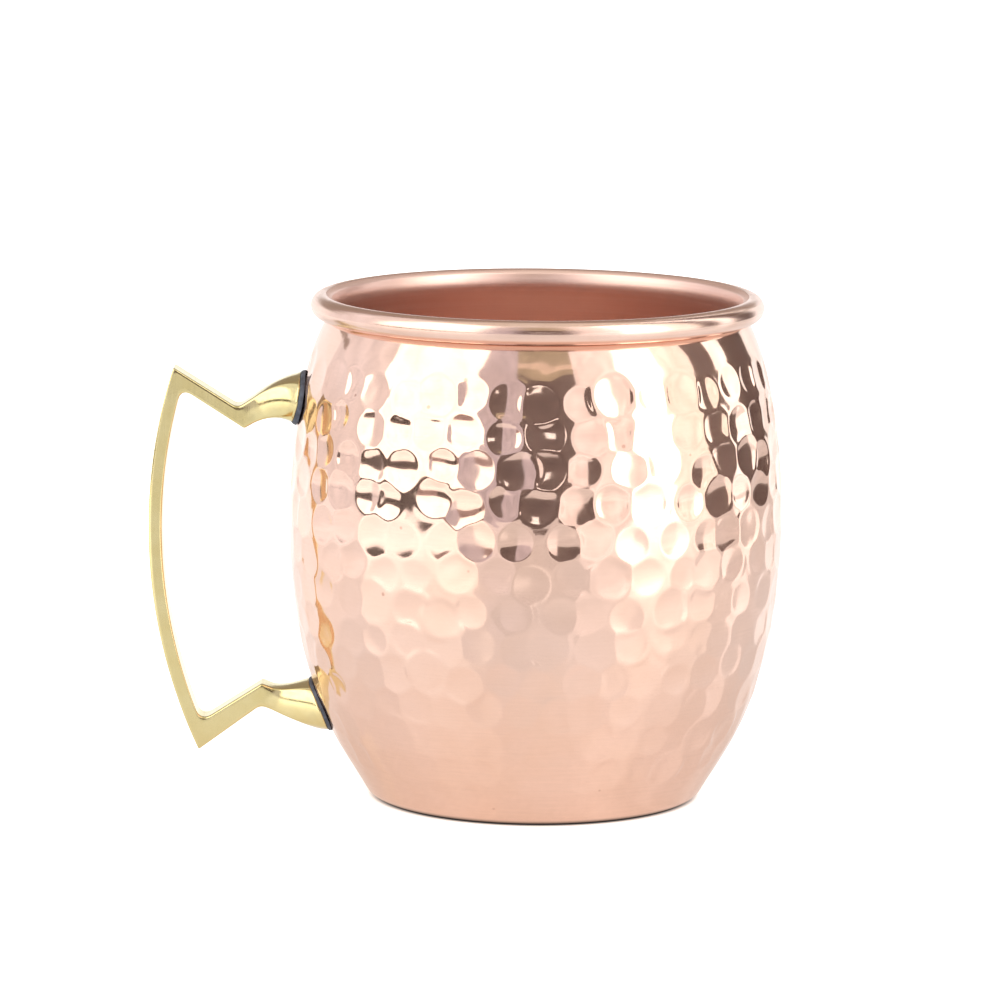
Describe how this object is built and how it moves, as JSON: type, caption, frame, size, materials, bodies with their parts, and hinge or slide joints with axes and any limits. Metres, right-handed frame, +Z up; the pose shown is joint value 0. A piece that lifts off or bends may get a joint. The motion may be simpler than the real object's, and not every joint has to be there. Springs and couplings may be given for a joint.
{
  "type": "copper mug",
  "caption": "Barrel-shaped hammered copper mug with a rolled rim and an angular cast brass handle on two flared feet.",
  "frame": {"origin": "centre of the flat base, on the surface that the mug stands on", "axes": "+Z up along the mug's axis, -X out of the mug through the middle of the handle, +Y to the mug's back when the handle is on the left"},
  "size_m": [0.1182, 0.092, 0.0942],
  "materials": {
    "copper_body": "polished, hammered outside",
    "brass_handle": "cast and polished",
    "brass_fixings": "satin",
    "rubber_pads": "matt"
  },
  "bodies": {
    "root": {"body_shell": "copper_body", "handle": "brass_handle", "upper_pad": "rubber_pads", "lower_pad": "rubber_pads", "upper_washer": "brass_fixings", "lower_washer": "brass_fixings", "upper_screw": "brass_fixings", "lower_screw": "brass_fixings"}
  },
  "joints": []
}
